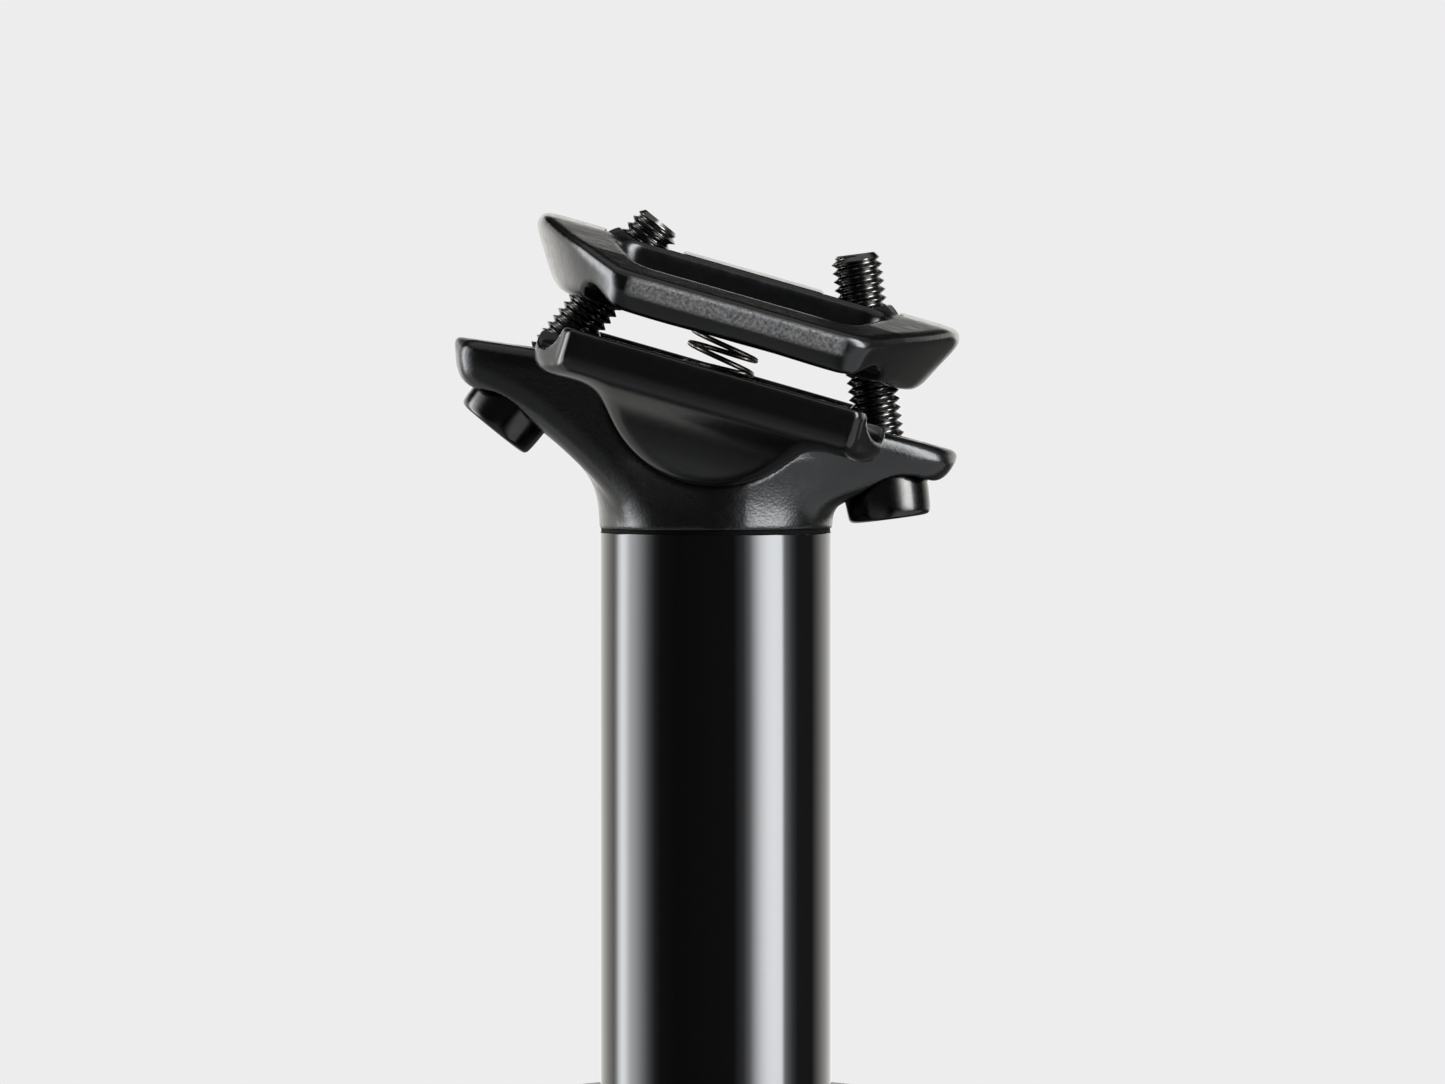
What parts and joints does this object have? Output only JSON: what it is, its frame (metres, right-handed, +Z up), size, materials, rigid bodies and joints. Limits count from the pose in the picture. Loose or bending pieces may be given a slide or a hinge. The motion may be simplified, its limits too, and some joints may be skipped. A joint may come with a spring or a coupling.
{
  "type": "suspension seatpost",
  "caption": "Telescoping bicycle seatpost: a polished inner shaft slides on a spring in an outer tube and carries a forged head with a tilting rail cradle held by bolts.",
  "frame": {"origin": "on the post axis at the lower end of the outer tube's full-diameter wall", "axes": "+Z up the post to the saddle, +X towards the handlebar, +Y to the rider's left"},
  "size_m": [0.0587, 0.055, 0.374],
  "materials": {
    "forged_black": "satin-gloss black over bead-blasted forged aluminium",
    "gloss_black": "polished gloss black tube",
    "anodised_black": "satin black anodised",
    "seal_rubber": "soft black seal rubber",
    "bumper_foam": "yellow-brown urethane elastomer",
    "bush_plastic": "natural acetal bush",
    "spacer_plastic": "dark moulded plastic",
    "key_brass": "machined brass",
    "bare_alloy": "machined aluminium",
    "spring_steel": "shot-peened, phosphated spring steel",
    "dark_spring": "dark drawn spring wire",
    "bolt_steel": "black oxide steel",
    "washer_steel": "black oxide steel",
    "nut_steel": "black oxide steel"
  },
  "bodies": {
    "post": {"outer_tube": "anodised_black", "collar_nut": "anodised_black", "wiper_seal": "seal_rubber", "upper_bush": "bush_plastic", "main_spring": "spring_steel"},
    "preload_slider": {"lower_spring_seat": "bare_alloy", "bump_stop": "bumper_foam"},
    "preload_screw": {"preload_plug": "bare_alloy"},
    "shaft": {"shaft_tube": "gloss_black", "clamp_head": "forged_black", "lower_bush": "bush_plastic", "travel_spacer": "spacer_plastic", "top_out_bumper": "seal_rubber", "anti_rotation_keys": "key_brass", "shaft_foot": "bare_alloy"},
    "cradle": {"lower_cradle": "forged_black", "centring_spring": "dark_spring"},
    "top": {"upper_clamp": "forged_black"},
    "rear_seat": {"rear_washer_seat": "washer_steel"},
    "rear_swing": {"rear_washer": "washer_steel"},
    "rear_screw": {"rear_bolt": "bolt_steel"},
    "rear_nut": {"rear_barrel_nut": "nut_steel"},
    "front_seat": {"front_washer_seat": "washer_steel"},
    "front_swing": {"front_washer": "washer_steel"},
    "front_screw": {"front_bolt": "bolt_steel"},
    "front_nut": {"front_barrel_nut": "nut_steel"}
  },
  "joints": [
    {"name": "suspension_travel", "type": "slide", "parent": "post", "child": "shaft", "axis": [0, 0, 1], "range_m": [-0.05, 0], "stiffness_N_per_m": 23000, "springref_m": 0.005, "deforming": ["main_spring"]},
    {"name": "preload_travel", "type": "slide", "parent": "post", "child": "preload_slider", "axis": [0, 0, 1], "range_m": [0, 0.008], "stiffness_N_per_m": 4000, "deforming": ["main_spring"]},
    {"name": "preload_turn", "type": "hinge", "parent": "preload_slider", "child": "preload_screw", "pos_m": [0, 0, 0.006], "axis": [0, 0, 1], "range_deg": [-1, 1922]},
    {"name": "saddle_tilt", "type": "hinge", "parent": "shaft", "child": "cradle", "pos_m": [0, 0, 0.3535], "axis": [0, 1, 0], "range_deg": [-6, 6], "stiffness_Nm_per_rad": 1},
    {"name": "clamp_close", "type": "slide", "parent": "cradle", "child": "top", "axis": [0.2756, 0, 0.9613], "range_m": [-0.0015, 0.002], "stiffness_N_per_m": 1500, "deforming": ["centring_spring"]},
    {"name": "rear_seat_swing", "type": "hinge", "parent": "shaft", "child": "rear_seat", "pos_m": [-0.02997, 0, 0.34198], "axis": [0, 1, 0], "range_deg": [-0.7, 0.7]},
    {"name": "rear_bolt_swing", "type": "hinge", "parent": "rear_seat", "child": "rear_swing", "pos_m": [-0.02997, 0, 0.34198], "axis": [0, 1, 0], "range_deg": [-1.48, 1.12]},
    {"name": "rear_bolt_turn", "type": "hinge", "parent": "rear_swing", "child": "rear_screw", "pos_m": [-0.0218, 0, 0.35209], "axis": [0.6286, 0, 0.7777], "range_deg": [-664.01, 498.26]},
    {"name": "rear_nut_swivel", "type": "hinge", "parent": "top", "child": "rear_nut", "pos_m": [-0.01036, 0, 0.36625], "axis": [0, 1, 0], "range_deg": [-5.4, 5.4]},
    {"name": "front_seat_swing", "type": "hinge", "parent": "shaft", "child": "front_seat", "pos_m": [0.02128, 0, 0.33015], "axis": [0, 1, 0], "range_deg": [-0.56, 0.56]},
    {"name": "front_bolt_swing", "type": "hinge", "parent": "front_seat", "child": "front_swing", "pos_m": [0.02128, 0, 0.33015], "axis": [0, 1, 0], "range_deg": [-1.26, 1.66]},
    {"name": "front_bolt_turn", "type": "hinge", "parent": "front_swing", "child": "front_screw", "pos_m": [0.0196, 0, 0.34304], "axis": [-0.1295, 0, 0.9916], "range_deg": [-661.58, 496.44]},
    {"name": "front_nut_swivel", "type": "hinge", "parent": "top", "child": "front_nut", "pos_m": [0.01762, 0, 0.35823], "axis": [0, 1, 0], "range_deg": [-5.54, 5.54]}
  ],
  "couplings": [
    {"joint": "preload_turn", "follows": "preload_travel", "rad_per_m": 4188.8},
    {"joint": "rear_seat_swing", "follows": "saddle_tilt", "ratio": 0.1091},
    {"joint": "rear_bolt_swing", "follows": "clamp_close", "rad_per_m": -12.496},
    {"joint": "rear_bolt_turn", "follows": "clamp_close", "rad_per_m": -5785.8},
    {"joint": "rear_nut_swivel", "follows": "saddle_tilt", "ratio": -0.8909},
    {"joint": "front_seat_swing", "follows": "saddle_tilt", "ratio": 0.084981},
    {"joint": "front_bolt_swing", "follows": "clamp_close", "rad_per_m": 14.048},
    {"joint": "front_bolt_turn", "follows": "clamp_close", "rad_per_m": -5764.7},
    {"joint": "front_nut_swivel", "follows": "saddle_tilt", "ratio": -0.91502}
  ]
}
